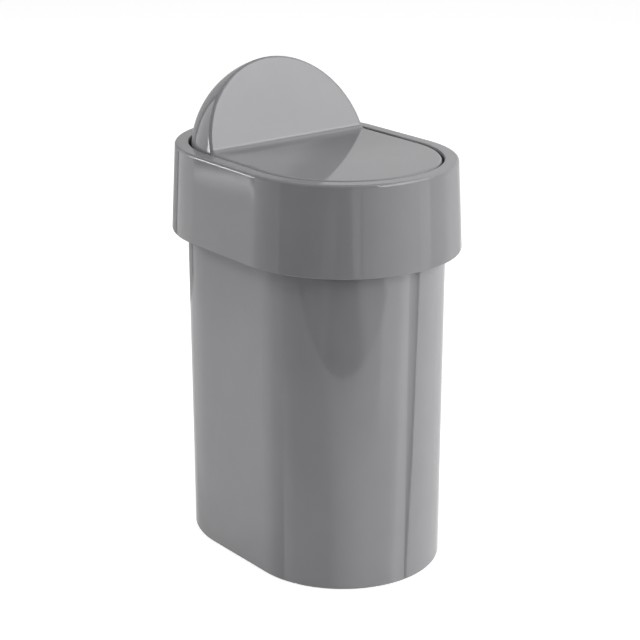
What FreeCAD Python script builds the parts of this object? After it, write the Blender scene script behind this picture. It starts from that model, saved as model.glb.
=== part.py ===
"""Swing-lid bathroom bin: an obround bucket, a lift-off collar and a weighted half-dome flap.

Millimetres, +Z up, origin at the centre of the base. The long axis runs along Y, with the flat
plate of the flap in front (-Y) and the dome behind it (+Y). The flap turns about an axis along X.
"""
import FreeCAD, Part
import math
import os
import Sketcher

# Driving sizes: name, millimetres or degrees, what it is.
SIZES = [
    ("half_straight", 33.2, "half the straight run between the two round ends, all pieces"),
    ("body_rim_radius", 72.65, "bucket, outer radius of an end at the rim"),
    ("body_taper", 1.1, "bucket, how much smaller that radius is at the base"),
    ("body_height", 268.0, "bucket, base to rim, where the collar sits"),
    ("body_wall", 2.4, "bucket wall"),
    ("floor_wall", 2.6, "bucket floor"),
    ("base_recess", 3.0, "how far the middle of the base is raised off the ground"),
    ("base_ring", 12.0, "width of the ring that the bin stands on"),
    ("base_round", 2.0, "rounding of the outer bottom edge"),
    ("gate_diameter", 6.0, "moulding gate mark under the middle of the base"),
    ("gate_height", 0.6, "moulding gate mark, downwards from the raised middle"),
    ("moat_round", 2.5, "rounding inside, where floor meets wall"),
    ("bead_width", 3.0, "bead round the rim, outwards from the wall"),
    ("bead_height", 5.0, "bead round the rim, height"),
    ("bead_round", 1.0, "rounding of the bead and of the rim"),
    ("rim_width", 10.0, "collar, width of the flat rim from the mouth to the outside"),
    ("collar_flare", 3.3, "collar, how much wider the skirt is at its lower edge"),
    ("collar_height", 64.0, "collar skirt, top to lower edge"),
    ("collar_wall", 2.4, "collar skirt and rim"),
    ("collar_round", 2.0, "rounding of the collar's top edge"),
    ("skirt_round", 0.7, "rounding of the skirt's lower edge"),
    ("throat_depth", 32.0, "inner wall of the collar, top of the rim to the bucket's rim"),
    ("throat_wall", 2.2, "inner wall of the collar"),
    ("mouth_round", 1.0, "rounding of the mouth's edge"),
    ("rib_wall", 1.6, "ribs inside the skirt that centre the collar"),
    ("rib_rise", 5.0, "ribs inside the skirt, above the bucket's rim"),
    ("rib_lift", 3.0, "ribs inside the skirt, above the skirt's lower edge"),
    ("rib_clearance", 0.4, "ribs inside the skirt, off the bead"),
    ("flap_clearance", 1.05, "flap, off the inner wall of the bucket's rim"),
    ("swing_gap", 1.5, "gap between the flap and the mouth"),
    ("pivot_drop", 8.2, "pivot axis below the top of the rim"),
    ("plate_sink", 0.1, "plate below the top of the rim"),
    ("plate_wall", 2.4, "plate"),
    ("plate_round", 2.5, "rounding of the plate's edge"),
    ("lip_depth", 7.0, "turned-down edge of the plate, depth from its top"),
    ("lip_wall", 2.0, "turned-down edge of the plate"),
    ("plate_rib_depth", 4.0, "ribs under the plate, below it"),
    ("plate_rib_wall", 1.4, "ribs under the plate"),
    ("plate_rib_place", 25.0, "ribs under the plate, off the middle"),
    ("fin_lean", 22.65, "fin, degrees back from upright"),
    ("fin_offset", 7.1, "front face of the fin in front of the pivot axis"),
    ("fin_wall", 3.0, "fin"),
    ("fin_edge", 0.8, "straight part of the fin's edge, behind its rounding"),
    ("crease_round", 6.0, "rounding where the fin meets the plate"),
    ("dome_wall", 2.2, "dome shell"),
    ("tray_tilt", 33.6, "tray, degrees down towards the back"),
    ("tray_drop", 8.0, "top of the tray below the pivot axis"),
    ("tray_wall", 2.2, "tray"),
    ("pin_diameter", 5.0, "pivot pin"),
    ("pin_hold", 17.0, "pivot pin, length inside the flap's hub"),
    ("pin_chamfer", 0.5, "pivot pin, chamfer at its ends"),
    ("pin_clearance", 0.05, "pivot pin, radial running clearance"),
    ("hub_wall", 2.6, "wall of the flap's hub round the pin"),
    ("hub_clearance", 0.6, "hub off the inside of the dome"),
    ("bush_wall", 1.5, "pivot bush"),
    ("bush_clearance", 0.05, "pivot bush, radial clearance in its boss"),
    ("flange_radius", 6.0, "flange of the pivot bush"),
    ("flange_clearance", 0.3, "flange of the pivot bush, radial clearance in its seat"),
    ("flange_seat", 0.5, "depth of that seat in the throat"),
    ("side_play", 0.4, "side play between the flap and a bush"),
    ("boss_wall", 2.2, "boss round the pivot bush"),
    ("boss_reach", 3.2, "boss round the pivot bush, outwards from the throat"),
    ("open_angle", 60.0, "degrees that the flap swings open"),
    ("stop_reach", 8.5, "stops under the pivots, inwards from the throat"),
    ("stop_clearance", 1.5, "stops, off the corner of the tray that swings past them"),
    ("stop_face", 8.0, "stops, length of the face that the open plate meets"),
    ("stop_margin", 1.0, "stops, behind the end of the soft pad"),
    ("stop_gap", 0.2, "gap left at the fully open stop"),
    ("pad_start", 9.0, "stop pad, start along the tray"),
    ("pad_length", 7.0, "stop pad, length along the tray"),
    ("pad_thickness", 1.5, "stop pad"),
    ("pad_gap", 0.05, "gap between a stop pad and the closed flap"),
    ("pad_inset", 0.6, "stop pad, in from the stop's inner end and from the throat"),
    ("weight_width", 18.0, "counterweight, along the tray"),
    ("weight_height", 8.0, "counterweight"),
    ("weight_gap", 19.5, "counterweight, back edge to the inside of the dome, along the tray"),
    ("fence_wall", 1.6, "fence round the counterweight"),
    ("fence_height", 5.0, "fence round the counterweight"),
    ("fence_clearance", 0.4, "counterweight inside its fence"),
    ("fence_margin", 1.0, "rear corners of the fence, off the inside of the dome"),
    ("screw_diameter", 3.0, "screw shank"),
    ("screw_head_radius", 2.8, "screw head"),
    ("screw_head_height", 1.9, "screw head"),
    ("screw_bite", 7.0, "screw, length past the tray"),
    ("screw_clearance", 0.05, "screw shank in the hole that it cuts its thread in"),
    ("screw_freedom", 0.3, "screw shank in the tray's hole"),
    ("post_wall", 2.0, "wall of the screw posts"),
    ("post_height", 10.0, "screw posts above the tray"),
    ("post_sink", 1.2, "screw posts, how far they run into the wall that carries them"),
    ("front_post_place", 30.0, "front screw posts, off the middle"),
    ("rear_post_place", 18.0, "rear screw posts, off the middle"),
    ("weight_screw_place", 28.0, "screws of the counterweight, off the middle"),
]

SKIRT_RIBS_PER_QUARTER = 3

doc = FreeCAD.newDocument("bathroom_bin")


class Size:
    """A number together with the sheet formula that gives it."""

    def __init__(self, value, formula):
        self.value = value
        self.formula = formula

    def __add__(self, other):
        other = as_size(other)
        return Size(self.value + other.value, f"({self.formula} + {other.formula})")

    def __sub__(self, other):
        other = as_size(other)
        return Size(self.value - other.value, f"({self.formula} - {other.formula})")

    def __mul__(self, other):
        other = as_size(other)
        return Size(self.value * other.value, f"({self.formula} * {other.formula})")

    def __truediv__(self, other):
        other = as_size(other)
        return Size(self.value / other.value, f"({self.formula} / {other.formula})")

    def __neg__(self):
        return Size(-self.value, f"(0 - {self.formula})")


def as_size(item):
    """A plain number as a size with no sheet cell behind it."""
    return item if isinstance(item, Size) else Size(item, f"({item})")


def sine(angle):
    return Size(math.sin(math.radians(angle.value)), f"sin({angle.formula})")


def cosine(angle):
    return Size(math.cos(math.radians(angle.value)), f"cos({angle.formula})")


def long_side(leg, other):
    """The long side of a right-angled triangle."""
    square = leg * leg + other * other
    return Size(math.sqrt(square.value), f"sqrt({square.formula})")


def other_leg(hypotenuse, leg):
    """The second short side of a right-angled triangle."""
    square = hypotenuse * hypotenuse - leg * leg
    return Size(math.sqrt(square.value), f"sqrt({square.formula})")


def write_sheet():
    """Put the driving sizes in the sheet and give each back as a Size."""
    sheet = doc.addObject("Spreadsheet::Sheet", "Sizes")
    sizes = {}
    for row, (name, value, note) in enumerate(SIZES, start=1):
        sheet.set(f"A{row}", name)
        sheet.set(f"B{row}", str(value))
        sheet.setAlias(f"B{row}", name)
        sheet.set(f"C{row}", note)
        sizes[name] = Size(value, f"Sizes.{name}")
    doc.recompute()
    return sizes


S = write_sheet()

# Places that several pieces share, worked out from the sheet.
ends = S["half_straight"]
rim_top = S["body_height"] + S["throat_depth"]
flap_radius = S["body_rim_radius"] - S["body_wall"] - S["flap_clearance"]
mouth_radius = flap_radius + S["swing_gap"]
throat_outside = mouth_radius + S["throat_wall"]
collar_radius = mouth_radius + S["rim_width"]
boss_end = throat_outside + S["boss_reach"]
pivot_height = rim_top - S["pivot_drop"]
plate_top = rim_top - S["plate_sink"]
fin_back = S["fin_offset"] - S["fin_wall"]
fin_round = S["fin_wall"] - S["fin_edge"]
tray_under = S["tray_drop"] + S["tray_wall"]
pin_radius = S["pin_diameter"] / 2
bore_radius = pin_radius + S["pin_clearance"]
bush_radius = bore_radius + S["bush_wall"]
hub_radius = pin_radius + S["hub_wall"]
hub_outside = flap_radius - S["dome_wall"] - S["hub_clearance"]
hub_inside = hub_outside - S["pin_hold"]
screw_radius = S["screw_diameter"] / 2
thread_radius = screw_radius + S["screw_clearance"]
post_radius = thread_radius + S["post_wall"]
fin_turn = Size(90, "90") - S["fin_lean"]
beyond = flap_radius * 1.5


def along_tray(forward, upward):
    """Y and Z of a place given along the tray and square to it, from the pivot axis."""
    tilt = S["tray_tilt"]
    y = ends + forward * cosine(tilt) + upward * sine(tilt)
    z = pivot_height - forward * sine(tilt) + upward * cosine(tilt)
    return y, z


def fin_on_tray(offset, drop):
    """Where a plane of the fin meets the tray: its place along the tray at that drop."""
    lean = S["tray_tilt"] - S["fin_lean"]
    return (drop * sine(lean) - offset) / cosine(lean)


tray_front = fin_on_tray(S["fin_offset"], tray_under)
tray_corner_sweep = long_side(tray_under, tray_front)
front_post_row = fin_on_tray(fin_back, S["tray_drop"]) + S["post_sink"]
dome_inside_at_tray = other_leg(flap_radius - S["dome_wall"], S["tray_drop"])
weight_back = dome_inside_at_tray - S["weight_gap"]
weight_row = weight_back - S["weight_width"] / 2
fence_depth = S["fence_clearance"] + S["fence_wall"]
fence_half = other_leg(dome_inside_at_tray, weight_back + fence_depth) - S["fence_margin"]
weight_half = fence_half - fence_depth
rear_post_row = other_leg(dome_inside_at_tray - post_radius + S["post_sink"], S["rear_post_place"])


def new_body(label):
    body = doc.addObject("PartDesign::Body", label)
    body.Label = label
    return body


def origin_plane(body, role):
    return [item for item in body.Origin.OriginFeatures if item.Role == role][0]


def bind(thing, path, size):
    """Tie a property to the sheet."""
    thing.setExpression(path, as_size(size).formula)


def new_sketch(body, name, role, right=0, up=0, out=0, turn=None, axis=(0, 0, 1)):
    """A sketch on an origin plane, moved in that plane's directions and turned about an axis."""
    sketch = body.newObject("Sketcher::SketchObject", name)
    sketch.AttachmentSupport = [(origin_plane(body, role), "")]
    sketch.MapMode = "FlatFace"
    if turn is not None:
        spin = FreeCAD.Rotation(FreeCAD.Vector(*axis), turn.value)
        sketch.AttachmentOffset = FreeCAD.Placement(FreeCAD.Vector(), spin)
        bind(sketch, "AttachmentOffset.Rotation.Angle", turn)
    for letter, size in (("x", right), ("y", up), ("z", out)):
        bind(sketch, f"AttachmentOffset.Base.{letter}", size)
    return sketch


def end_sketch(body, name, end=1):
    """A sketch in the upright plane through the centre of a round end, rear 1 or front -1."""
    return new_sketch(body, name, "XZ_Plane", out=ends * -end)


def fin_sketch(body, name, out=0):
    """A sketch across the pivot axis: its x runs up the fin, its y forwards out of it."""
    return new_sketch(body, name, "YZ_Plane", ends, pivot_height, out, fin_turn)


def tray_side_sketch(body, name, out=0):
    """A sketch across the pivot axis: its x runs back along the tray, its y up off it."""
    return new_sketch(body, name, "YZ_Plane", ends, pivot_height, out, -S["tray_tilt"])


def tray_plan_sketch(body, name, drop):
    """A sketch on a plane along the tray, a distance below the pivot axis."""
    y, z = along_tray(as_size(0), -drop)
    return new_sketch(body, name, "XY_Plane", 0, y, z, -S["tray_tilt"], (1, 0, 0))


def axle_sketch(body, name):
    """A sketch whose x axis is the pivot axis."""
    return new_sketch(body, name, "XZ_Plane", 0, pivot_height, -ends)


def fix_point(rules, geometry, position, x, y):
    """Hold a sketch point at two sizes; a plain zero holds it on the axis."""
    for kind, size, axis_line in (("DistanceX", x, -2), ("DistanceY", y, -1)):
        if size.formula == "(0)":
            rules.append((Sketcher.Constraint("PointOnObject", geometry, position, axis_line), None))
        else:
            rules.append((Sketcher.Constraint(kind, geometry, position, size.value), size))


def apply_rules(sketch, rules):
    for rule, size in rules:
        index = sketch.addConstraint(rule)
        if size is not None:
            bind(sketch, f"Constraints[{index}]", size)


def outline(sketch, corners):
    """Draw a closed outline through corners (x, y) or (x, y, rounding), held by their sizes."""
    corners = [tuple(as_size(item) for item in corner) for corner in corners]
    points = [FreeCAD.Vector(corner[0].value, corner[1].value, 0) for corner in corners]
    count = len(corners)
    arrive = list(points)
    leave = list(points)
    for i, corner in enumerate(corners):
        if len(corner) == 3:
            back = (points[i - 1] - points[i]).normalize()
            ahead = (points[(i + 1) % count] - points[i]).normalize()
            reach = corner[2].value / math.tan(back.getAngle(ahead) / 2)
            arrive[i] = points[i] + back * reach
            leave[i] = points[i] + ahead * reach
    lines = []
    for i in range(count):
        lines.append(sketch.addGeometry(Part.LineSegment(leave[i], arrive[(i + 1) % count]), False))
    rules = []
    for i, corner in enumerate(corners):
        line_in = lines[i - 1]
        line_out = lines[i]
        if len(corner) == 2:
            rules.append((Sketcher.Constraint("Coincident", line_in, 2, line_out, 1), None))
            fix_point(rules, line_out, 1, corner[0], corner[1])
            continue
        middle = (arrive[i] + leave[i]) / 2
        towards = (middle - points[i]).normalize()
        half = math.asin((leave[i] - middle).Length / (leave[i] - points[i]).Length)
        centre_distance = corner[2].value / math.sin(half)
        crown = points[i] + towards * (centre_distance - corner[2].value)
        arc = sketch.addGeometry(Part.Arc(arrive[i], crown, leave[i]), False)
        left_turn = (points[i] - points[i - 1]).cross(points[(i + 1) % count] - points[i]).z > 0
        arc_in, arc_out = (1, 2) if left_turn else (2, 1)
        mark = sketch.addGeometry(Part.Point(points[i]), True)
        rules.append((Sketcher.Constraint("Tangent", line_in, 2, arc, arc_in), None))
        rules.append((Sketcher.Constraint("Tangent", arc, arc_out, line_out, 1), None))
        rules.append((Sketcher.Constraint("Radius", arc, corner[2].value), corner[2]))
        fix_point(rules, mark, 1, corner[0], corner[1])
        rules.append((Sketcher.Constraint("PointOnObject", mark, 1, line_in), None))
        rules.append((Sketcher.Constraint("PointOnObject", mark, 1, line_out), None))
    apply_rules(sketch, rules)
    return sketch


def box_outline(sketch, left, right, low, high):
    return outline(sketch, [(left, low), (right, low), (right, high), (left, high)])


def circle(sketch, x, y, radius):
    x = as_size(x)
    y = as_size(y)
    centre = FreeCAD.Vector(x.value, y.value, 0)
    ring = sketch.addGeometry(Part.Circle(centre, FreeCAD.Vector(0, 0, 1), radius.value), False)
    rules = [(Sketcher.Constraint("Radius", ring, radius.value), radius)]
    fix_point(rules, ring, 3, x, y)
    apply_rules(sketch, rules)
    return sketch


def pad(body, sketch, name, length, backwards=False, both_ways=False):
    feature = body.newObject("PartDesign::Pad", name)
    feature.Profile = sketch
    feature.Reversed = backwards
    if both_ways:
        feature.SideType = "Symmetric"
    bind(feature, "Length", length)
    doc.recompute()
    return feature


def pocket(body, sketch, name, length, backwards=False, both_ways=False):
    """Cut a sketch's shape out, and insist that it really took something away."""
    before = body.Shape.Volume
    feature = body.newObject("PartDesign::Pocket", name)
    feature.Profile = sketch
    feature.Reversed = backwards
    if both_ways:
        feature.SideType = "Symmetric"
    bind(feature, "Length", length)
    doc.recompute()
    if body.Shape.Volume >= before:
        raise RuntimeError(f"{body.Label}: {name} cuts nothing")
    return feature


def revolve(body, sketch, name, axis, angle, backwards=False):
    feature = body.newObject("PartDesign::Revolution", name)
    feature.Profile = sketch
    feature.ReferenceAxis = (sketch, [axis])
    feature.Angle = angle
    feature.Reversed = backwards
    doc.recompute()
    return feature


def mirror(body, name, role, features=None):
    """Mirror the whole body, or only some features, in one of its origin planes."""
    feature = body.newObject("PartDesign::Mirrored", name)
    if features is None:
        feature.TransformMode = "Whole shape"
    else:
        feature.Originals = features
    feature.MirrorPlane = (origin_plane(body, role), [""])
    body.Tip = feature
    doc.recompute()
    return feature


def bin_body():
    """The bucket: one wall section, turned round the end and run along the straight side."""
    body = new_body("bin_body")
    base_radius = S["body_rim_radius"] - S["body_taper"]
    slope = S["body_taper"] / S["body_height"]
    bead_base = S["body_height"] - S["bead_height"]
    bead_radius = S["body_rim_radius"] + S["bead_width"]
    recess_radius = base_radius - S["base_ring"]
    step_radius = recess_radius + S["floor_wall"]
    floor_top = S["base_recess"] + S["floor_wall"]
    section = outline(end_sketch(body, "wall_section"), [
        (0, S["base_recess"]),
        (recess_radius, S["base_recess"]),
        (recess_radius, 0),
        (base_radius, 0, S["base_round"]),
        (base_radius + slope * bead_base, bead_base),
        (bead_radius, bead_base, S["bead_round"]),
        (bead_radius, S["body_height"], S["bead_round"]),
        (S["body_rim_radius"] - S["body_wall"], S["body_height"], S["bead_round"]),
        (base_radius + slope * S["floor_wall"] - S["body_wall"], S["floor_wall"], S["moat_round"]),
        (step_radius, S["floor_wall"]),
        (step_radius, floor_top),
        (0, floor_top),
    ])
    revolve(body, section, "round_end", "V_Axis", 90)
    pad(body, section, "straight_side", ends)
    mirror(body, "other_side", "YZ_Plane")
    mirror(body, "other_end", "XZ_Plane")
    gate = new_sketch(body, "gate_circle", "XY_Plane", out=S["base_recess"] - S["gate_height"])
    circle(gate, 0, 0, S["gate_diameter"] / 2)
    pad(body, gate, "gate_mark", S["gate_height"] + S["floor_wall"] / 2)
    return body


def skirt_ribs(body):
    """Upright ribs inside the skirt that hold the collar centred on the bucket's bead."""
    low = rim_top - S["collar_height"] + S["rib_lift"]
    inner = S["body_rim_radius"] + S["bead_width"] + S["rib_clearance"]
    slope = S["collar_flare"] / S["collar_height"]
    high = S["body_height"] + S["rib_rise"]
    inside_wall = collar_radius - S["collar_wall"] / 2
    low_radius = inside_wall + slope * (rim_top - low)
    high_radius = inside_wall + slope * (rim_top - high)
    sketch = outline(end_sketch(body, "rib_shape"), [
        (inner, low + S["rib_lift"]),
        (low_radius, low),
        (high_radius, high),
        (inner, high),
    ])
    rib = pad(body, sketch, "skirt_rib", S["rib_wall"], both_ways=True)
    ribs = body.newObject("PartDesign::PolarPattern", "skirt_ribs")
    ribs.Originals = [rib]
    ribs.Axis = (sketch, ["V_Axis"])
    ribs.Angle = 90
    ribs.Occurrences = SKIRT_RIBS_PER_QUARTER
    body.Tip = ribs
    doc.recompute()


def stop_shape(body):
    """The stop under a pivot: one face meets the open plate's lip, one carries the soft pad."""
    angle = S["open_angle"]
    lip_height = S["pivot_drop"] - S["plate_sink"] - S["lip_depth"] - S["stop_gap"]
    pad_seat = -(tray_under + S["pad_gap"] + S["pad_thickness"])
    opening_face = []
    nearest = tray_corner_sweep + S["stop_clearance"]
    for distance in (nearest, nearest + S["stop_face"]):
        y = ends - distance * cosine(angle) - lip_height * sine(angle)
        z = pivot_height - distance * sine(angle) + lip_height * cosine(angle)
        opening_face.append((y, z))
    pad_face = []
    for place in (S["pad_start"] + S["pad_length"] + S["stop_margin"], S["pad_start"]):
        pad_face.append(along_tray(place, pad_seat))
    sketch = new_sketch(body, "stop_outline", "YZ_Plane", out=mouth_radius + S["throat_wall"] / 2)
    return outline(sketch, opening_face + pad_face)


def lid_collar():
    """The collar: rim, flared skirt and throat in one section, then ribs, bosses and stops."""
    body = new_body("lid_collar")
    bottom = rim_top - S["collar_height"]
    bottom_radius = collar_radius + S["collar_flare"]
    section = outline(end_sketch(body, "collar_section"), [
        (mouth_radius, S["body_height"]),
        (throat_outside, S["body_height"]),
        (throat_outside, rim_top - S["collar_wall"]),
        (collar_radius - S["collar_wall"], rim_top - S["collar_wall"]),
        (bottom_radius - S["collar_wall"], bottom, S["skirt_round"]),
        (bottom_radius, bottom, S["skirt_round"]),
        (collar_radius, rim_top, S["collar_round"]),
        (mouth_radius, rim_top, S["mouth_round"]),
    ])
    revolve(body, section, "round_end", "V_Axis", 90)
    pad(body, section, "straight_side", ends)
    skirt_ribs(body)
    mirror(body, "other_side", "YZ_Plane")
    mirror(body, "other_end", "XZ_Plane")
    in_wall = mouth_radius + S["throat_wall"] / 2
    boss_sketch = new_sketch(body, "boss_circle", "YZ_Plane", out=in_wall)
    circle(boss_sketch, ends, pivot_height, bush_radius + S["bush_clearance"] + S["boss_wall"])
    boss = pad(body, boss_sketch, "pivot_boss", boss_end - in_wall)
    stop = pad(body, stop_shape(body), "swing_stop", S["stop_reach"] + S["throat_wall"] / 2, backwards=True)
    mirror(body, "other_pivot", "YZ_Plane", [boss, stop])
    seat_sketch = new_sketch(body, "seat_circle", "YZ_Plane")
    circle(seat_sketch, ends, pivot_height, S["flange_radius"] + S["flange_clearance"])
    pocket(body, seat_sketch, "flange_seats", (mouth_radius + S["flange_seat"]) * 2, both_ways=True)
    hole_sketch = new_sketch(body, "hole_circle", "YZ_Plane")
    circle(hole_sketch, ends, pivot_height, bush_radius + S["bush_clearance"])
    pocket(body, hole_sketch, "bush_holes", boss_end * 2 + S["side_play"], both_ways=True)
    return body


def plate_blank():
    """The flat front of the flap, with its turned-down lip and ribs, cut off inside the fin."""
    body = new_body("plate_blank")
    under = plate_top - S["plate_wall"]
    lip_bottom = plate_top - S["lip_depth"]
    section = outline(end_sketch(body, "plate_section", end=-1), [
        (0, under),
        (flap_radius - S["lip_wall"], under),
        (flap_radius - S["lip_wall"], lip_bottom),
        (flap_radius, lip_bottom),
        (flap_radius, plate_top, S["plate_round"]),
        (0, plate_top),
    ])
    run = ends * 2 + S["pivot_drop"]
    revolve(body, section, "round_end", "V_Axis", 90, backwards=True)
    pad(body, section, "straight_side", run, backwards=True)
    rib_sketch = box_outline(
        end_sketch(body, "rib_section", end=-1),
        S["plate_rib_place"] - S["plate_rib_wall"] / 2, S["plate_rib_place"] + S["plate_rib_wall"] / 2,
        under - S["plate_rib_depth"], under + S["plate_wall"] / 2)
    pad(body, rib_sketch, "plate_rib", run, backwards=True)
    mirror(body, "other_side", "YZ_Plane")
    fin_middle = S["fin_offset"] - S["fin_wall"] / 2
    behind = box_outline(fin_sketch(body, "behind_fin"), -beyond, beyond, -beyond, fin_middle)
    pocket(body, behind, "end_in_fin", beyond * 2, both_ways=True)
    return body


def fin_blank():
    """The leaning half disc, the hubs for the pins and the front screw posts on its back."""
    body = new_body("fin_blank")
    disc = outline(fin_sketch(body, "disc_section"), [
        (0, fin_back),
        (other_leg(flap_radius, fin_back), fin_back),
        (other_leg(flap_radius, S["fin_offset"]), S["fin_offset"], fin_round),
        (0, S["fin_offset"]),
    ])
    revolve(body, disc, "disc", "V_Axis", 360)
    low = box_outline(tray_side_sketch(body, "below_tray"), -beyond, beyond, -beyond, -S["tray_drop"])
    pocket(body, low, "end_at_tray", beyond * 2, both_ways=True)
    hub = outline(fin_sketch(body, "hub_section", hub_inside), [
        (-hub_radius, fin_back + S["fin_wall"] / 2),
        (-hub_radius, -hub_radius, pin_radius),
        (hub_radius, -hub_radius, pin_radius),
        (hub_radius, fin_back + S["fin_wall"] / 2),
    ])
    one_hub = pad(body, hub, "hub", hub_outside - hub_inside)
    mirror(body, "other_hub", "YZ_Plane", [one_hub])
    bore = new_sketch(body, "bore_circle", "YZ_Plane")
    circle(bore, ends, pivot_height, pin_radius)
    pocket(body, bore, "pin_bores", beyond * 2, both_ways=True)
    posts = tray_plan_sketch(body, "post_circles", S["tray_drop"])
    threads = tray_plan_sketch(body, "thread_circles", S["tray_drop"])
    for side in (1, -1):
        circle(posts, S["front_post_place"] * side, front_post_row, post_radius)
        circle(threads, S["front_post_place"] * side, front_post_row, thread_radius)
    pad(body, posts, "front_posts", S["post_height"])
    pocket(body, threads, "front_threads", S["screw_bite"] + S["screw_diameter"] / 2, backwards=True)
    return body


def crease_edges(shape):
    """Numbers of the straight edges where the fin's front face meets the top of the plate."""
    lean = math.radians(S["fin_lean"].value)
    normal = FreeCAD.Vector(0, -math.cos(lean), math.sin(lean))
    axis_point = FreeCAD.Vector(0, ends.value, pivot_height.value)
    found = []
    for number, edge in enumerate(shape.Edges, start=1):
        on_both = True
        for vertex in edge.Vertexes:
            on_plate = abs(vertex.Z - plate_top.value) < 1e-4
            on_fin = abs((vertex.Point - axis_point).dot(normal) - S["fin_offset"].value) < 1e-4
            on_both = on_both and on_plate and on_fin
        if on_both:
            found.append(number)
    return found


def flap_panel():
    """Plate and fin as one moulding, with the crease between them rounded."""
    joined = doc.addObject("Part::MultiFuse", "panel_joined")
    joined.Shapes = [plate_blank(), fin_blank()]
    joined.Refine = True
    doc.recompute()
    panel = doc.addObject("Part::Fillet", "flap_panel")
    panel.Label = "flap_panel"
    panel.Base = joined
    radius = S["crease_round"].value
    panel.Edges = [(number, radius, radius) for number in crease_edges(joined.Shape)]
    doc.recompute()
    return panel


def flap_dome():
    """The spherical shell behind the fin, centred on the pivot axis so that it clears the mouth."""
    body = new_body("flap_dome")
    for kind, name, radius in (
            ("PartDesign::AdditiveSphere", "outside", flap_radius),
            ("PartDesign::SubtractiveSphere", "inside", flap_radius - S["dome_wall"])):
        ball = body.newObject(kind, name)
        ball.AttachmentSupport = [(origin_plane(body, "YZ_Plane"), "")]
        ball.MapMode = "FlatFace"
        bind(ball, "Radius", radius)
        bind(ball, "AttachmentOffset.Base.x", ends)
        bind(ball, "AttachmentOffset.Base.y", pivot_height)
        doc.recompute()
    front = box_outline(fin_sketch(body, "front_of_fin"), -beyond, beyond, fin_back, beyond)
    pocket(body, front, "end_at_fin", beyond * 2, both_ways=True)
    low = box_outline(tray_side_sketch(body, "below_tray"), -beyond, beyond, -beyond, -S["tray_drop"])
    pocket(body, low, "end_at_tray", beyond * 2, both_ways=True)
    bore = new_sketch(body, "bore_circle", "YZ_Plane")
    circle(bore, ends, pivot_height, bore_radius)
    pocket(body, bore, "pin_holes", beyond * 2, both_ways=True)
    posts = tray_plan_sketch(body, "post_circle", S["tray_drop"])
    threads = tray_plan_sketch(body, "thread_circle", S["tray_drop"])
    circle(posts, S["rear_post_place"], rear_post_row, post_radius)
    circle(threads, S["rear_post_place"], rear_post_row, thread_radius)
    post = pad(body, posts, "rear_post", S["post_height"])
    thread = pocket(body, threads, "rear_thread", S["screw_bite"] + S["screw_diameter"] / 2, backwards=True)
    mirror(body, "other_post", "YZ_Plane", [post, thread])
    return body


def tray_screw_places():
    """Across and along the tray: two screws into the fin's posts, two into the dome's."""
    places = []
    for side in (1, -1):
        places.append((S["front_post_place"] * side, front_post_row))
        places.append((S["rear_post_place"] * side, rear_post_row))
    return places


def weight_screw_places():
    return [(S["weight_screw_place"] * side, weight_row) for side in (1, -1)]


def weight_outline(sketch, gap):
    """The counterweight's plan on the tray, grown by a gap all round."""
    half_long = weight_half + gap
    half_wide = S["weight_width"] / 2 + gap
    return box_outline(sketch, -half_long, half_long, weight_row - half_wide, weight_row + half_wide)


def weight_tray():
    """The plate that closes the dome from below, with a fence that holds the counterweight."""
    body = new_body("weight_tray")
    disc = tray_plan_sketch(body, "disc_circle", tray_under)
    circle(disc, 0, 0, other_leg(flap_radius, tray_under))
    pad(body, disc, "floor", S["tray_wall"])
    front = tray_plan_sketch(body, "front_part", tray_under)
    box_outline(front, -beyond, beyond, -beyond, tray_front)
    pocket(body, front, "straight_front", S["tray_wall"], backwards=True)
    fence = tray_plan_sketch(body, "fence_section", S["tray_drop"])
    for gap in (S["fence_clearance"], fence_depth):
        weight_outline(fence, gap)
    pad(body, fence, "fence", S["fence_height"])
    holes = tray_plan_sketch(body, "screw_circles", S["tray_drop"])
    for across, along in tray_screw_places() + weight_screw_places():
        circle(holes, across, along, screw_radius + S["screw_freedom"])
    pocket(body, holes, "screw_holes", S["tray_wall"])
    return body


def counterweight():
    """A flat steel bar on the tray, tapped from below."""
    body = new_body("counterweight")
    bar = tray_plan_sketch(body, "bar_plan", S["tray_drop"])
    weight_outline(bar, as_size(0))
    pad(body, bar, "bar", S["weight_height"])
    taps = tray_plan_sketch(body, "tap_circles", S["tray_drop"])
    for across, along in weight_screw_places():
        circle(taps, across, along, thread_radius)
    pocket(body, taps, "tapped_holes", S["weight_height"], backwards=True)
    return body


def screw_part(label, radius, height, across, along, drop):
    """An upright round part of a screw, standing square on a plane along the tray."""
    part = doc.addObject("Part::Cylinder", label)
    tilt = S["tray_tilt"]
    part.Placement.Rotation = FreeCAD.Rotation(FreeCAD.Vector(1, 0, 0), -tilt.value)
    bind(part, "Radius", radius)
    bind(part, "Height", height)
    y, z = along_tray(along, -drop)
    bind(part, "Placement.Base.x", across)
    bind(part, "Placement.Base.y", y)
    bind(part, "Placement.Base.z", z)
    bind(part, "Placement.Rotation.Angle", -tilt)
    return part


def screws(label, places):
    """A group of equal pan-head screws, driven up through the tray."""
    group = []
    for number, (across, along) in enumerate(places, start=1):
        screw = doc.addObject("Part::MultiFuse", f"{label}_{number}")
        head_drop = tray_under + S["screw_head_height"]
        screw.Shapes = [
            screw_part(f"{label}_head_{number}", S["screw_head_radius"], S["screw_head_height"],
                       across, along, head_drop),
            screw_part(f"{label}_shank_{number}", screw_radius, S["tray_wall"] + S["screw_bite"],
                       across, along, tray_under),
        ]
        group.append(screw)
    node = doc.addObject("Part::Compound", label)
    node.Label = label
    node.Links = group
    doc.recompute()
    return node


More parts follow.
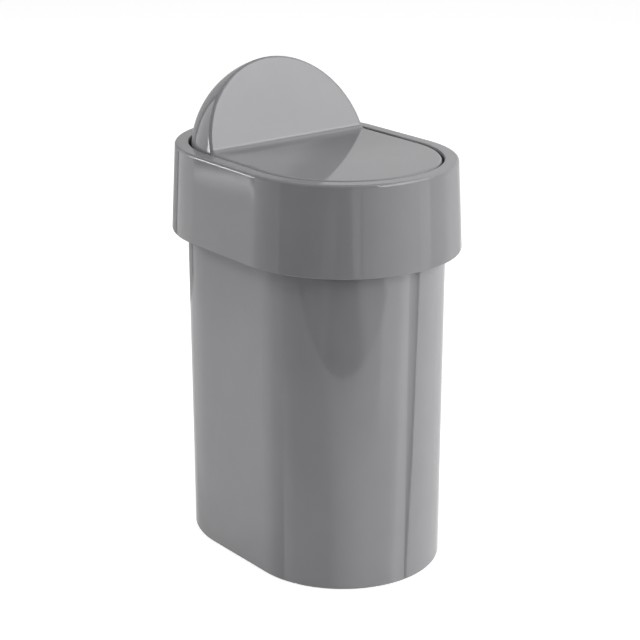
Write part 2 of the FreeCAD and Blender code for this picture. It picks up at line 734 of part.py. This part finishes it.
def pivot_pin(side, name):
    """A plain steel pin, held in the flap's hub and turning in the collar's bush."""
    body = new_body(f"pivot_pin_{name}")
    chamfer = S["pin_chamfer"]
    section = outline(axle_sketch(body, "pin_section"), [
        (hub_inside * side, 0),
        (hub_inside * side, pin_radius - chamfer),
        ((hub_inside + chamfer) * side, pin_radius),
        ((boss_end - chamfer) * side, pin_radius),
        (boss_end * side, pin_radius - chamfer),
        (boss_end * side, 0),
    ])
    revolve(body, section, "pin", "H_Axis", 360)
    return body


def pivot_bush(side, name):
    """A flanged bush, pushed into the collar's boss from the mouth."""
    body = new_body(f"pivot_bush_{name}")
    flange_face = (flap_radius + S["side_play"]) * side
    seat_face = (mouth_radius + S["flange_seat"]) * side
    section = outline(axle_sketch(body, "bush_section"), [
        (flange_face, bore_radius),
        (flange_face, S["flange_radius"]),
        (seat_face, S["flange_radius"]),
        (seat_face, bush_radius),
        (boss_end * side, bush_radius),
        (boss_end * side, bore_radius),
    ])
    revolve(body, section, "bush", "H_Axis", 360)
    return body


def stop_pad(side, name):
    """A soft pad on a stop, which the tray rests on when the flap is shut."""
    body = new_body(f"stop_pad_{name}")
    inner = mouth_radius - S["stop_reach"] + S["pad_inset"]
    top = -(tray_under + S["pad_gap"])
    sketch = tray_side_sketch(body, "pad_section", inner * side)
    box_outline(sketch, S["pad_start"], S["pad_start"] + S["pad_length"], top - S["pad_thickness"], top)
    pad(body, sketch, "pad", S["stop_reach"] - S["pad_inset"] * 2, backwards=side < 0)
    return body


def build():
    """Every separate piece of the bin, in the order that it goes together."""
    pieces = [bin_body(), lid_collar(), flap_panel(), flap_dome(), weight_tray(), counterweight()]
    pieces.append(screws("tray_screws", tray_screw_places()))
    pieces.append(screws("weight_screws", weight_screw_places()))
    for side, name in ((-1, "left"), (1, "right")):
        pieces += [pivot_pin(side, name), pivot_bush(side, name), stop_pad(side, name)]
    return pieces


def check(pieces):
    """Stop if any object failed or any piece isn't a sound solid."""
    for item in doc.Objects:
        if "Invalid" in item.State or "Error" in item.State:
            raise RuntimeError(f"{item.Label} failed: {item.State}")
    for piece in pieces:
        if piece.Shape.isNull() or not piece.Shape.isValid() or not piece.Shape.Solids:
            raise RuntimeError(f"{piece.Label} is not a valid solid")


def export(pieces):
    os.makedirs("parts", exist_ok=True)
    for piece in pieces:
        piece.Shape.exportStep(f"parts/{piece.Label}.step")
        box = piece.Shape.optimalBoundingBox()
        print(f"{piece.Label}: {len(piece.Shape.Solids)} solid, {piece.Shape.Volume / 1000:.2f} cm3, "
              f"x {box.XMin:.1f} to {box.XMax:.1f}, y {box.YMin:.1f} to {box.YMax:.1f}, "
              f"z {box.ZMin:.1f} to {box.ZMax:.1f}")


all_pieces = build()
doc.recompute()
check(all_pieces)
export(all_pieces)
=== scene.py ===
# %% [markdown]
# # A glossy bathroom bin
# The bin was drawn as solids first: a bucket, a collar and a weighted flap on two pins. This lesson
# loads those solids as a fixed frame, gives each moulding and each metal piece its real finish, and
# sets up a small product studio round it. Nothing in the frame is moved or reshaped here.
# Two lengths of the bin, in metres, are used again below: the centres of its two round ends lie
# 33.2 mm in front of its middle and behind it, and the flap turns 291.8 mm above the ground.

# %% Load the frame
import math

import bpy
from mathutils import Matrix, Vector

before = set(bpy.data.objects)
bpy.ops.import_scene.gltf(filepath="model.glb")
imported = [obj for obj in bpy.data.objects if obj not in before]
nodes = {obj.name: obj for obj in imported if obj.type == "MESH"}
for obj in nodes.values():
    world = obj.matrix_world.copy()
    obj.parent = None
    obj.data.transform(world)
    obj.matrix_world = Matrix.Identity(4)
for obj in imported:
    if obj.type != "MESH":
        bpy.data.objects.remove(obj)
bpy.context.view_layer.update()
END_CENTRE = 0.0332
PIVOT_HEIGHT = 0.2918
print("pieces:", sorted(nodes))

# %% [markdown]
# Colours are picked as sRGB hex values, the way a paint program shows them, but shaders work with
# linear light. One function converts, so that every colour below can be compared with a swatch.
# A second small function adds one node with its settings and its links. With only that one helper,
# each material reads as a list of the things that make up the surface.


# %% Two small helpers
def linear(hex_colour):
    """An sRGB hex colour as linear RGBA."""
    parts = [int(hex_colour[i:i + 2], 16) / 255 for i in (1, 3, 5)]
    lit = [c / 12.92 if c <= 0.04045 else ((c + 0.055) / 1.055) ** 2.4 for c in parts]
    return (*lit, 1.0)


def add(tree, kind, settings=None, **inputs):
    """Add a node; each input is a value, or a socket to link from."""
    node = tree.nodes.new(kind)
    for name, value in (settings or {}).items():
        setattr(node, name, value)
    for name, value in inputs.items():
        socket = node.inputs[int(name[1:]) if name[1:].isdigit() else name.replace("_", " ")]
        if isinstance(value, bpy.types.NodeSocket):
            tree.links.new(value, socket)
        else:
            socket.default_value = value
    return node


def new_material(name):
    """An empty node material and its tree."""
    material = bpy.data.materials.new(name)
    material.use_nodes = True
    material.node_tree.nodes.clear()
    return material, material.node_tree


def per_metre(millimetres):
    """The texture scale that gives a pattern of that size."""
    return 1000 / millimetres


print("mid grey in linear light:", [round(c, 3) for c in linear("#8a8a8a")[:3]])

# %% [markdown]
# The outer mouldings are ABS. The steel tool is polished on the side that makes the outside, and only
# stoned on the side that makes the inside. So the outside has a very sharp reflection that gets
# stronger at a shallow angle, and the inside is satin. When you look closely there is also a faint
# waviness where the plastic shrank as it cooled, and a mottle of a percent or two in the grey.
# Outside and inside are told apart by the surface's direction: it points away from the middle of the
# moulding or towards it. The middle of the bucket and the collar is an upright wall between the
# centres of the round ends, and the middle of the flap is a point below its pivot.


# %% Moulded gloss ABS, mid grey
def moulded_abs(name, ends, height=None):
    """Grey ABS, gloss away from the middle of the moulding and satin towards it."""
    material, tree = new_material(name)
    coordinates = add(tree, "ShaderNodeTexCoord")
    place = coordinates.outputs["Object"]
    flow = add(tree, "ShaderNodeTexNoise", Vector=place, Scale=per_metre(38), Detail=2.0, Roughness=0.45)
    tone = add(tree, "ShaderNodeValToRGB", Fac=flow.outputs["Fac"])
    tone.color_ramp.elements[0].position = 0.30
    tone.color_ramp.elements[0].color = linear("#878689")
    tone.color_ramp.elements[1].position = 0.70
    tone.color_ramp.elements[1].color = linear("#8a898c")

    at = add(tree, "ShaderNodeSeparateXYZ", Vector=place)
    along = add(tree, "ShaderNodeClamp", Value=at.outputs["Y"], Min=ends[0], Max=ends[1])
    along = add(tree, "ShaderNodeMath", {"operation": "SUBTRACT"},
                _0=at.outputs["Y"], _1=along.outputs["Result"])
    away = add(tree, "ShaderNodeCombineXYZ", X=at.outputs["X"], Y=along.outputs["Value"])
    if height is not None:
        up = add(tree, "ShaderNodeMath", {"operation": "SUBTRACT"}, _0=at.outputs["Z"], _1=height)
        tree.links.new(up.outputs["Value"], away.inputs["Z"])
    away = add(tree, "ShaderNodeVectorMath", {"operation": "NORMALIZE"}, _0=away.outputs["Vector"])
    facing = add(tree, "ShaderNodeVectorMath", {"operation": "DOT_PRODUCT"},
                 _0=away.outputs["Vector"], _1=coordinates.outputs["Normal"])
    inside = add(tree, "ShaderNodeMapRange", Value=facing.outputs["Value"],
                 From_Min=-0.05, From_Max=-0.25, To_Min=0.0, To_Max=1.0)

    handling = add(tree, "ShaderNodeTexNoise", Vector=place, Scale=per_metre(9), Detail=4.0)
    polish = add(tree, "ShaderNodeMapRange", Value=handling.outputs["Fac"],
                 From_Min=0.3, From_Max=0.7, To_Min=0.045, To_Max=0.075)
    stoned = add(tree, "ShaderNodeMapRange", Value=handling.outputs["Fac"],
                 From_Min=0.3, From_Max=0.7, To_Min=0.30, To_Max=0.38)
    finish = add(tree, "ShaderNodeMix", _0=inside.outputs["Result"],
                 _2=polish.outputs["Result"], _3=stoned.outputs["Result"])
    shrink = add(tree, "ShaderNodeTexNoise", Vector=place, Scale=per_metre(22), Detail=1.0)
    waviness = add(tree, "ShaderNodeBump", Height=shrink.outputs["Fac"], Strength=0.03, Distance=0.0004)
    skin = add(tree, "ShaderNodeBsdfPrincipled", Base_Color=tone.outputs["Color"], IOR=1.54,
               Roughness=finish.outputs["Result"], Normal=waviness.outputs["Normal"])
    add(tree, "ShaderNodeOutputMaterial", Surface=skin.outputs["BSDF"])
    return material


bucket_abs = moulded_abs("moulded_gloss_abs_grey", (-END_CENTRE, END_CENTRE))
flap_abs = moulded_abs("moulded_gloss_abs_grey_flap", (END_CENTRE, END_CENTRE), height=0.265)
for name, material in (("bin_body", bucket_abs), ("lid_collar", bucket_abs),
                       ("flap_panel", flap_abs), ("flap_dome", flap_abs)):
    nodes[name].material_slots[0].material = material
print("gloss ABS on the four outer mouldings")

# %% [markdown]
# The tray under the dome is out of sight, so its tool was not polished but spark eroded. Such a
# surface is an even fine grain, about half a millimetre from bump to bump, and it looks matt.

# %% Spark-eroded polypropylene, charcoal
grained_pp, tree = new_material("moulded_grained_polypropylene_charcoal")
place = add(tree, "ShaderNodeTexCoord").outputs["Object"]
grain = add(tree, "ShaderNodeTexVoronoi", Vector=place, Scale=per_metre(0.6))
flow = add(tree, "ShaderNodeTexNoise", Vector=place, Scale=per_metre(30), Detail=2.0)
tone = add(tree, "ShaderNodeValToRGB", Fac=flow.outputs["Fac"])
tone.color_ramp.elements[0].color = linear("#404142")
tone.color_ramp.elements[1].color = linear("#4a4b4c")
relief = add(tree, "ShaderNodeBump", Height=grain.outputs["Distance"], Strength=0.25, Distance=0.0002)
skin = add(tree, "ShaderNodeBsdfPrincipled", Base_Color=tone.outputs["Color"], IOR=1.49,
           Roughness=0.55, Normal=relief.outputs["Normal"])
add(tree, "ShaderNodeOutputMaterial", Surface=skin.outputs["BSDF"])
nodes["weight_tray"].material_slots[0].material = grained_pp
print("grained polypropylene on the tray")

# %% [markdown]
# The bushes are turned from acetal, a slippery, waxy, off-white plastic. The lathe leaves rings
# round the axis, which here runs along X. A wave texture in rings gives them; they are drawn
# 0.4 mm apart, coarser than real ones, because finer rings would not show at all.

# %% Turned natural acetal
acetal, tree = new_material("turned_natural_acetal")
place = add(tree, "ShaderNodeTexCoord").outputs["Object"]
axle = add(tree, "ShaderNodeMapping", Vector=place, Location=(0, -END_CENTRE, -PIVOT_HEIGHT))
rings = add(tree, "ShaderNodeTexWave", {"wave_type": "RINGS", "rings_direction": "X"},
            Vector=axle.outputs["Vector"], Scale=per_metre(0.4) / 20, Distortion=0.4)
tone = add(tree, "ShaderNodeValToRGB", Fac=rings.outputs["Fac"])
tone.color_ramp.elements[0].color = linear("#dcd9d0")
tone.color_ramp.elements[1].color = linear("#e6e3da")
relief = add(tree, "ShaderNodeBump", Height=rings.outputs["Fac"], Strength=0.15, Distance=0.00005)
skin = add(tree, "ShaderNodeBsdfPrincipled", Base_Color=tone.outputs["Color"], IOR=1.48, Roughness=0.38,
           Normal=relief.outputs["Normal"])
skin.inputs["Subsurface Weight"].default_value = 0.05
skin.inputs["Subsurface Radius"].default_value = (0.001, 0.001, 0.0008)
add(tree, "ShaderNodeOutputMaterial", Surface=skin.outputs["BSDF"])
for name in ("pivot_bush_left", "pivot_bush_right"):
    nodes[name].material_slots[0].material = acetal
print("acetal on the two bushes")

# %% [markdown]
# The stop pads are black nitrile rubber, cut from a moulded sheet. Rubber is dark, dull and slightly
# dusty: a high roughness, a speckle of talc that lightens it here and there, and a fine sheet grain.

# %% Nitrile rubber sheet
rubber, tree = new_material("moulded_nitrile_rubber_black")
place = add(tree, "ShaderNodeTexCoord").outputs["Object"]
talc = add(tree, "ShaderNodeTexNoise", Vector=place, Scale=per_metre(1.2), Detail=6.0)
tone = add(tree, "ShaderNodeValToRGB", Fac=talc.outputs["Fac"])
tone.color_ramp.elements[0].position = 0.45
tone.color_ramp.elements[0].color = linear("#1b1b1c")
tone.color_ramp.elements[1].position = 0.80
tone.color_ramp.elements[1].color = linear("#3a3a3b")
relief = add(tree, "ShaderNodeBump", Height=talc.outputs["Fac"], Strength=0.3, Distance=0.0001)
skin = add(tree, "ShaderNodeBsdfPrincipled", Base_Color=tone.outputs["Color"], IOR=1.52, Roughness=0.82,
           Normal=relief.outputs["Normal"])
add(tree, "ShaderNodeOutputMaterial", Surface=skin.outputs["BSDF"])
for name in ("stop_pad_left", "stop_pad_right"):
    nodes[name].material_slots[0].material = rubber
print("rubber on the two stop pads")

# %% [markdown]
# The metal pieces are plain steel with a thin zinc coat. Drawn bar and ground pins keep fine lines
# along their length, so the noise is stretched along X. Zinc is a light, slightly blue grey with a
# soft shine, and the roughness follows the same lines as the colour.

# %% Zinc-plated drawn steel
zinc_steel, tree = new_material("zinc_plated_drawn_steel")
place = add(tree, "ShaderNodeTexCoord").outputs["Object"]
drawn = add(tree, "ShaderNodeMapping", Vector=place, Scale=(0.04, 1.0, 1.0))
lines = add(tree, "ShaderNodeTexNoise", Vector=drawn.outputs["Vector"], Scale=per_metre(0.5), Detail=3.0)
tone = add(tree, "ShaderNodeValToRGB", Fac=lines.outputs["Fac"])
tone.color_ramp.elements[0].position = 0.35
tone.color_ramp.elements[0].color = linear("#a9adb2")
tone.color_ramp.elements[1].position = 0.70
tone.color_ramp.elements[1].color = linear("#c6c9cc")
shine = add(tree, "ShaderNodeMapRange", Value=lines.outputs["Fac"],
            From_Min=0.3, From_Max=0.7, To_Min=0.24, To_Max=0.38)
relief = add(tree, "ShaderNodeBump", Height=lines.outputs["Fac"], Strength=0.12, Distance=0.00005)
skin = add(tree, "ShaderNodeBsdfPrincipled", Base_Color=tone.outputs["Color"], Metallic=1.0,
           Roughness=shine.outputs["Result"], Normal=relief.outputs["Normal"])
add(tree, "ShaderNodeOutputMaterial", Surface=skin.outputs["BSDF"])
for name in ("counterweight", "pivot_pin_left", "pivot_pin_right", "tray_screws", "weight_screws"):
    nodes[name].material_slots[0].material = zinc_steel
print("zinc-plated steel on the metal pieces")

# %% [markdown]
# The camera stands in front of the bin, to its left and above it, with a long lens from well over a
# metre away, so that the upright edges stay nearly parallel.

# %% Camera
CAMERA_AZIMUTH = -38.02
camera = bpy.data.objects.new("camera", bpy.data.cameras.new("camera"))
bpy.context.collection.objects.link(camera)
camera.data.sensor_width = 36.0
camera.data.lens = 104.36
camera.location = (-0.7916, -1.0189, 0.6087)
aim = Vector((0.00317, -0.00248, 0.1705))
camera.rotation_mode = "QUATERNION"
camera.rotation_quaternion = (aim - camera.location).to_track_quat("-Z", "Y")
bpy.context.scene.camera = camera
print("camera is", round((aim - camera.location).length, 3), "m from the bin")

# %% [markdown]
# The bin stands on a pale table. Its own paper colour takes the light and the bin's soft shadow, and
# a glow that only the camera and clear things see lifts it to the white of the backdrop. Mirrors
# don't see the table: they see the cards of the next step in its place.


# %% Flat cards and the table
def around(azimuth, distance, height):
    """A place round the bin: degrees to the right of straight ahead, metres out, metres up."""
    turn = math.radians(azimuth)
    return Vector((math.sin(turn) * distance, -math.cos(turn) * distance, height))


def flat_card(name, corners, material):
    """A flat card of the studio set, which isn't part of the bin."""
    mesh = bpy.data.meshes.new(name)
    mesh.from_pydata(corners, [], [(0, 1, 2, 3)])
    across = mesh.uv_layers.new(name="across")
    for corner, uv in zip(across.data, ((0, 0), (1, 0), (1, 1), (0, 1))):
        corner.uv = uv
    mesh.materials.append(material)
    card = bpy.data.objects.new(name, mesh)
    bpy.context.collection.objects.link(card)
    return card


pale_table, tree = new_material("pale_table")
rays = add(tree, "ShaderNodeLightPath")
seen = add(tree, "ShaderNodeMath", {"operation": "MAXIMUM"},
           _0=rays.outputs["Is Camera Ray"], _1=rays.outputs["Is Glossy Ray"])
seen = add(tree, "ShaderNodeMath", {"operation": "MAXIMUM"},
           _0=seen.outputs["Value"], _1=rays.outputs["Is Transmission Ray"])
glow = add(tree, "ShaderNodeMath", {"operation": "MULTIPLY"}, _0=seen.outputs["Value"], _1=0.70)
paper = add(tree, "ShaderNodeBsdfDiffuse", Color=linear("#cfcfcf"))
shine = add(tree, "ShaderNodeEmission", Strength=glow.outputs["Value"])
both = add(tree, "ShaderNodeAddShader", _0=paper.outputs["BSDF"], _1=shine.outputs["Emission"])
add(tree, "ShaderNodeOutputMaterial", Surface=both.outputs["Shader"])
table = flat_card("table", [(-6, -6, 0), (6, -6, 0), (6, 6, 0), (-6, 6, 0)], pale_table)
table.visible_glossy = False
print("table is 12 m wide")

# %% [markdown]
# A shiny object is lit by what it mirrors, so a product photographer stands cards round it. In a real
# studio each card would be paper or a screen with its own lamp. Here a card glows by itself, and only
# mirrors see it. Its brightness goes by two ramps: one across it, and one up it that dims the first.
# Most cards stand upright, so for them the ramps are given by azimuth and by height round the bin.


# %% How a card glows
def mirrored(card):
    """Let a card show in mirrors only."""
    card.visible_camera = False
    card.visible_diffuse = False
    card.visible_shadow = False
    return card


def glowing(name, levels, shares=((0, 1), (1, 1))):
    """A card's brightness: levels across its width, and shares of them up its height."""
    material, tree = new_material(name)
    place = add(tree, "ShaderNodeSeparateXYZ", Vector=add(tree, "ShaderNodeTexCoord").outputs["UV"])
    strength = max(level for spot, level in levels)
    ramps = []
    for axis, top, (first, *between, last) in (("X", strength, levels), ("Y", 1, shares)):
        ramp = add(tree, "ShaderNodeValToRGB", Fac=place.outputs[axis])
        stops = ramp.color_ramp.elements
        for stop, (spot, level) in zip(stops, (first, last)):
            stop.position = spot
            stop.color = (level / top, level / top, level / top, 1)
        for spot, level in between:
            stops.new(spot).color = (level / top, level / top, level / top, 1)
        ramps.append(ramp.outputs["Color"])
    share = add(tree, "ShaderNodeMath", {"operation": "MULTIPLY"}, _0=ramps[1], _1=strength)
    light = add(tree, "ShaderNodeEmission", Color=ramps[0], Strength=share.outputs["Value"])
    add(tree, "ShaderNodeOutputMaterial", Surface=light.outputs["Emission"])
    return material


def standing_card(name, distance, azimuths, heights, levels, shares=None):
    """An upright card: its levels go by azimuth, and the shares of them by height."""
    left, right = azimuths
    low, high = heights
    corners = [around(left, distance, low), around(right, distance, low),
               around(right, distance, high), around(left, distance, high)]
    middle = (left + right) / 2
    half_width = math.tan(math.radians(right - middle))
    across = [(0.5 + math.tan(math.radians(azimuth - middle)) / half_width / 2, level)
              for azimuth, level in levels]
    up = [((height - low) / (high - low), share) for height, share in shares or ((low, 1), (high, 1))]
    return mirrored(flat_card(name, corners, glowing(name, across, up)))


print("card helpers: mirrored, glowing, standing_card")

# %% [markdown]
# The room behind the camera is dark. The floor is dark too, from half a metre in front of the bin on,
# and the straight edge where it starts is what bends into the dark tongue down the front of the
# bucket. Three cards overhead close the room: the two dark ones keep the dome grey, and the lighter
# one shows on the plate, where it mirrors the fin.

# %% The dark room
DARK_FROM = 0.52
FLOOR_REACH = 6
CEILING = 1.5
turn = math.radians(CAMERA_AZIMUTH)
aside = Vector((math.cos(turn), math.sin(turn), 0)) * FLOOR_REACH
near = around(CAMERA_AZIMUTH, DARK_FROM, 0)
far = around(CAMERA_AZIMUTH, FLOOR_REACH, 0)
mirrored(flat_card("dark_floor_card", [near - aside, near + aside, far + aside, far - aside],
                   glowing("dark_floor_card", [
                       (0, 0.30), (0.400, 0.29), (0.420, 0.18), (0.453, 0.08), (0.460, 0.10),
                       (0.465, 0.25), (0.485, 0.25), (0.487, 0.0), (0.516, 0.0), (0.519, 0.35),
                       (0.5215, 0.68), (1, 0.68)])))
for name, distance, azimuths, heights in (("dark_room_card", 3.0, (-100, 2), (0, 3.9)),
                                          ("dark_left_card", 1.4, (-138, -98), (0.36, CEILING)),
                                          ("dark_left_rear_card", 1.5, (-178, -138), (0.78, CEILING))):
    standing_card(name, distance, azimuths, heights, [(azimuth, 0.05) for azimuth in azimuths])
for name, azimuths, level, dimmed in (("grey_ceiling_right", (59.6, 89, 118), 1.5, 0.2),
                                      ("dark_ceiling_rear", (118, 179, 240), 0.10, 1),
                                      ("dark_ceiling_left", (-120, -79, -38), 0.10, 1)):
    corners = [Vector((0, 0, CEILING))] + [around(azimuth, 2.0, CEILING) for azimuth in azimuths]
    mirrored(flat_card(name, corners, glowing(name, [(0, level), (1, level)],
                                              [(0, dimmed), (0.06, dimmed), (0.30, 1), (1, 1)])))
print("dark floor starts", DARK_FROM, "m in front of the bin")

# %% [markdown]
# White sheets on the left light up the long flat side. The bucket mirrors the lower sheet and the
# collar the upper one, because the bucket's wall leans the other way. A small bright window stands in
# front of them: the round along the collar's top edge squeezes it into a thin light line, and its dim
# lower end gives the soft wedge below that line.

# %% Left side
standing_card("left_sheet", 0.95, (-176, -98), (-2.0, 0.03),
              [(-176, 0.95), (-168, 0.95), (-159, 1.05), (-149.5, 1.18), (-142, 1.38), (-130, 1.40),
               (-120, 1.15), (-110, 1.05), (-98, 0.9)],
              [(-2.0, 0.5), (-0.42, 0.6), (-0.36, 0.72), (-0.33, 0.77), (-0.31, 0.90), (-0.26, 0.97),
               (-0.18, 1.0), (-0.08, 1.0), (-0.03, 0.87), (0.03, 0.83)])
standing_card("left_collar_sheet", 0.95, (-176, -98), (0.03, 0.25),
              [(-176, 1.0), (-156, 1.05), (-148, 1.2), (-142, 1.15), (-138, 1.08), (-134, 1.28),
               (-128.5, 1.27), (-126, 1.0), (-122, 0.92), (-115, 0.76), (-108, 0.62), (-98, 0.60)])
left_window = [around(-143.5, 0.70, 0.157), around(-143.5, 0.70, 0.410),
               around(-128.5, 0.70, 0.394), around(-128.5, 0.70, 0.141)]
mirrored(flat_card("left_window", left_window, glowing("left_window", [
    (0, 1.15), (0.020, 1.5), (0.040, 1.9), (0.051, 2.4), (0.067, 2.4), (0.079, 1.9), (0.087, 1.0),
    (0.095, 0.4), (0.209, 0.4), (0.225, 9.0), (1, 9.0)],
    [(0, 0.5), (0.07, 0.58), (0.20, 0.9), (0.35, 1.0), (1, 1.0)])))
print("left window is", round((left_window[1] - left_window[0]).length, 3), "m high")

# %% [markdown]
# In front two sheets below the dark floor keep the lower part of the bucket's front grey, and a low
# sheet does the same for the right half of the collar's front. On the right one slanted card grows
# bright and then stops in black, which draws the fine upright line near that side of the bucket.

# %% Front
standing_card("front_left_sheet", 0.85, (-106, -56), (-2.0, 0.03),
              [(-106, 1.38), (-104, 1.35), (-96, 1.19), (-88, 1.08), (-70, 1.0), (-56, 0.88)],
              [(-2.0, 1.0), (-0.33, 1.0), (-0.26, 0.93), (-0.21, 0.86), (-0.17, 0.81), (-0.12, 0.72),
               (-0.08, 0.65), (-0.05, 0.58), (-0.023, 0.49), (0.03, 0.42)])
standing_card("front_sheet", 1.05, (-56, 20), (-2.0, -0.002),
              [(-56, 0.8), (-52, 0.85), (-48, 1.0), (-35, 1.35), (-18, 1.66), (0, 1.75), (20, 1.8)],
              [(-2.0, 1.0), (-0.235, 1.0), (-0.20, 0.95), (-0.165, 0.76), (-0.13, 0.64), (-0.06, 0.75),
               (-0.002, 0.75)])
standing_card("front_collar_sheet", 1.15, (-22, 50), (0.002, 0.20),
              [(-22, 0.0), (-21, 0.2), (-18.5, 0.65), (-13, 0.58), (-4.4, 0.84), (5, 0.94), (14.7, 1.21),
               (26.5, 1.42), (39.2, 1.5), (47.5, 1.62), (50, 1.62)])
fading_card = [around(-26, 0.80, -1.05), around(21, 0.80, -1.05),
               around(52.5, 0.80, 0.05), around(6.5, 0.80, 0.05)]
mirrored(flat_card("fading_card", fading_card, glowing(
    "fading_card",
    [(0, 1.85), (0.34, 1.93), (0.45, 2.33), (0.54, 3.02), (0.62, 2.70), (0.75, 1.7), (0.83, 0.85),
     (0.92, 0.0), (1, 0.0)],
    [(0, 0.80), (0.74, 0.88), (0.835, 0.94), (0.926, 1.0), (1, 1.0)])))
print("slanted card is", round((fading_card[2] - fading_card[3]).length, 2), "m wide at its top")

# %% [markdown]
# White sheets on the right give the pale far edge of bucket and collar. High on the right stands the
# large window that the fin mirrors: it makes the fin the lightest face, and the rounded crease below
# the fin squeezes the same window into a thin light line.

# %% Right side
right_sheet = [around(19, 0.95, -1.05), around(125, 0.95, -1.05),
               around(125, 0.95, 0.0), around(53.2, 0.95, 0.0)]
mirrored(flat_card("right_sheet", right_sheet, glowing("right_sheet", [
    (0, 1.9), (0.30, 1.75), (0.45, 1.5), (0.68, 1.1), (1, 0.85)])))
standing_card("right_collar_sheet", 0.95, (71, 125), (0.0, 0.30),
              [(71, 1.0), (76, 1.2), (82, 1.2), (88, 1.05), (96, 0.9), (106, 0.8), (125, 0.75)])
right_window = [around(59.6, 1.3, 0.60), around(59.6, 1.3, 1.88),
                around(5, 1.3, 1.88), around(5, 1.3, 0.60)]
mirrored(flat_card("right_window", right_window, glowing("right_window", [
    (0, 4.0), (0.22, 4.25), (0.42, 5.2), (0.70, 4.0), (1, 3.2)])))
print("right window is", round((right_window[1] - right_window[0]).length, 2), "m high")

# %% [markdown]
# The far edges mirror what stands behind the bin. A grey card there keeps the dome and the collar's
# left edge from washing out, and its black strip draws the thin dark line along them. Below it a
# paler sheet does the same for the bucket.

# %% Rear
standing_card("grey_rear_card", 1.5, (125, 184), (-0.24, 1.6),
              [(125, 0.78), (146, 0.70), (155, 0.46), (173, 0.40), (179.0, 0.40), (179.6, 0.05),
               (184, 0.05)])
standing_card("rear_sheet", 1.5, (125, 184), (-2.0, -0.24),
              [(125, 0.92), (145, 0.88), (160, 0.80), (184, 0.80)],
              [(-2.0, 0.6), (-0.75, 0.6), (-0.6, 0.75), (-0.5, 0.95), (-0.24, 1.0)])

# %% [markdown]
# Three soft boxes light the bin: behind its left, at the front right and overhead. They leave the
# side that faces the camera a little darker, so that the round front reads as round. Mirrors don't
# see them, because the cards already stand for what the bin mirrors. The backdrop is the world: full
# white to the camera, to mirrors and to clear things, and a weak fill for everything else.


# %% Soft boxes and backdrop
def soft_box(name, place, width, height, watts):
    """A rectangular lamp that faces the bin."""
    light = bpy.data.lights.new(name, "AREA")
    light.shape = "RECTANGLE"
    light.size = width
    light.size_y = height
    light.energy = watts
    lamp = bpy.data.objects.new(name, light)
    bpy.context.collection.objects.link(lamp)
    lamp.location = place
    lamp.rotation_mode = "QUATERNION"
    lamp.rotation_quaternion = (Vector((0, 0, 0.2)) - place).to_track_quat("-Z", "Y")
    lamp.visible_glossy = False
    return lamp


soft_box("left_soft_box", around(-142, 1.6, 1.25), 0.9, 0.6, 15)
soft_box("right_soft_box", around(27, 1.9, 1.00), 2.0, 1.4, 28)
soft_box("top_soft_box", around(60, 0.15, 1.70), 1.0, 1.0, 2.5)

world = bpy.data.worlds.new("white_backdrop")
bpy.context.scene.world = world
world.use_nodes = True
tree = world.node_tree
tree.nodes.clear()
rays = add(tree, "ShaderNodeLightPath")
seen = add(tree, "ShaderNodeMath", {"operation": "MAXIMUM"},
           _0=rays.outputs["Is Camera Ray"], _1=rays.outputs["Is Glossy Ray"])
seen = add(tree, "ShaderNodeMath", {"operation": "MAXIMUM"},
           _0=seen.outputs["Value"], _1=rays.outputs["Is Transmission Ray"])
level = add(tree, "ShaderNodeMapRange", Value=seen.outputs["Value"], To_Min=0.37, To_Max=1.0)
backdrop = add(tree, "ShaderNodeBackground", Color=linear("#ffffff"), Strength=level.outputs["Result"])
add(tree, "ShaderNodeOutputWorld", Surface=backdrop.outputs["Background"])
bpy.context.scene.view_settings.view_transform = "Standard"
